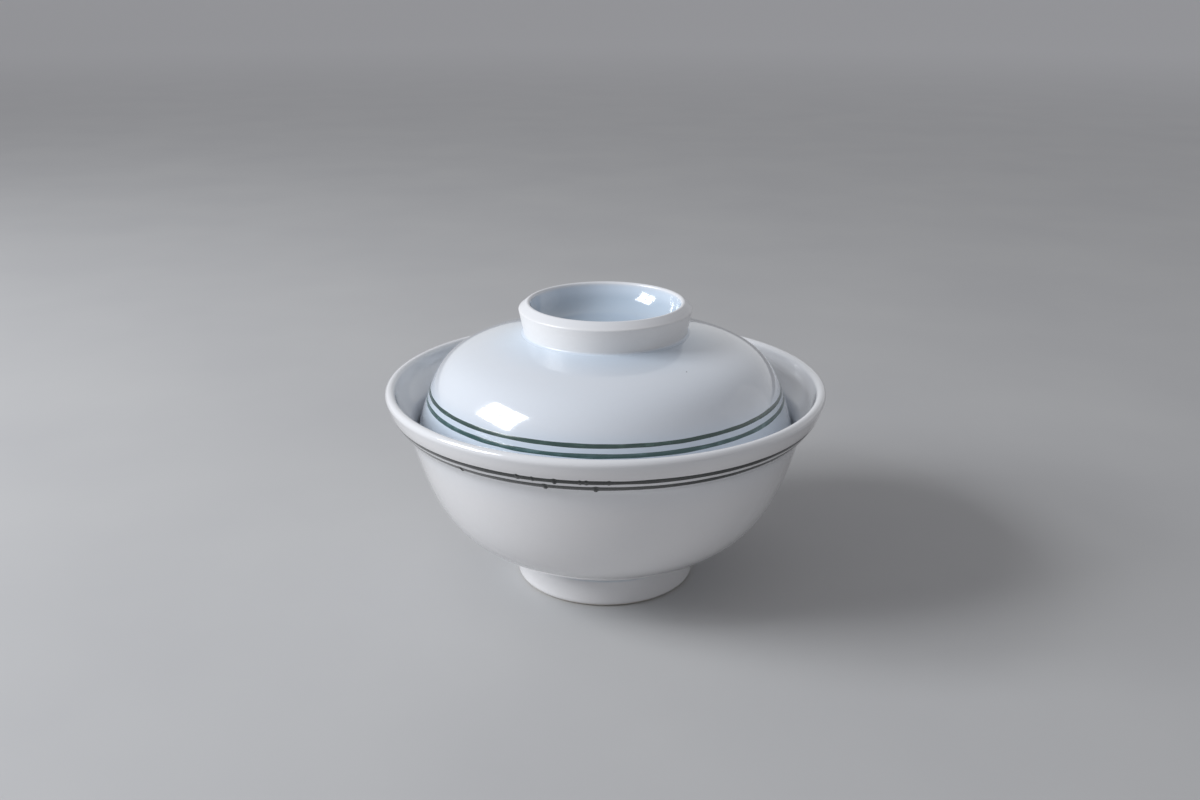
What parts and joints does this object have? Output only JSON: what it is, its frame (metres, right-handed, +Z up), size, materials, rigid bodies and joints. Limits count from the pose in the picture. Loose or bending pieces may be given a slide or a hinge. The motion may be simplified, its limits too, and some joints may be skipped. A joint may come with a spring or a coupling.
{
  "type": "donburi bowl with lid",
  "caption": "Deep round porcelain bowl on a turned foot ring, with an everted collar and a drop-in domed lid that has a ring-shaped knob; dark colour bands run round both.",
  "frame": {"origin": "centre of the foot ring's contact face, on the table", "axes": "+Z is up and is the axis of revolution of the bowl and of the lid; the piece is the same all round, so +X and +Y are free"},
  "size_m": [0.15, 0.15, 0.0992],
  "materials": {
    "bowl_glaze": "gloss",
    "foot_glaze": "gloss, with a matt unglazed contact face",
    "bowl_enamel": "gloss",
    "lid_glaze": "gloss",
    "lid_lower_enamel": "gloss",
    "lid_upper_enamel": "gloss"
  },
  "bodies": {
    "bowl": {"bowl_body": "bowl_glaze", "bowl_foot_ring": "foot_glaze", "bowl_band_lower": "bowl_enamel", "bowl_band_upper": "bowl_enamel"},
    "lid": {"lid_dome": "lid_glaze", "lid_knob_ring": "lid_glaze", "lid_band_lower": "lid_lower_enamel", "lid_band_upper": "lid_upper_enamel"}
  },
  "joints": [
    {"name": "lid_lift", "type": "slide", "parent": "bowl", "child": "lid", "axis": [0, 0, 1], "range_m": [0, 0.1]}
  ]
}
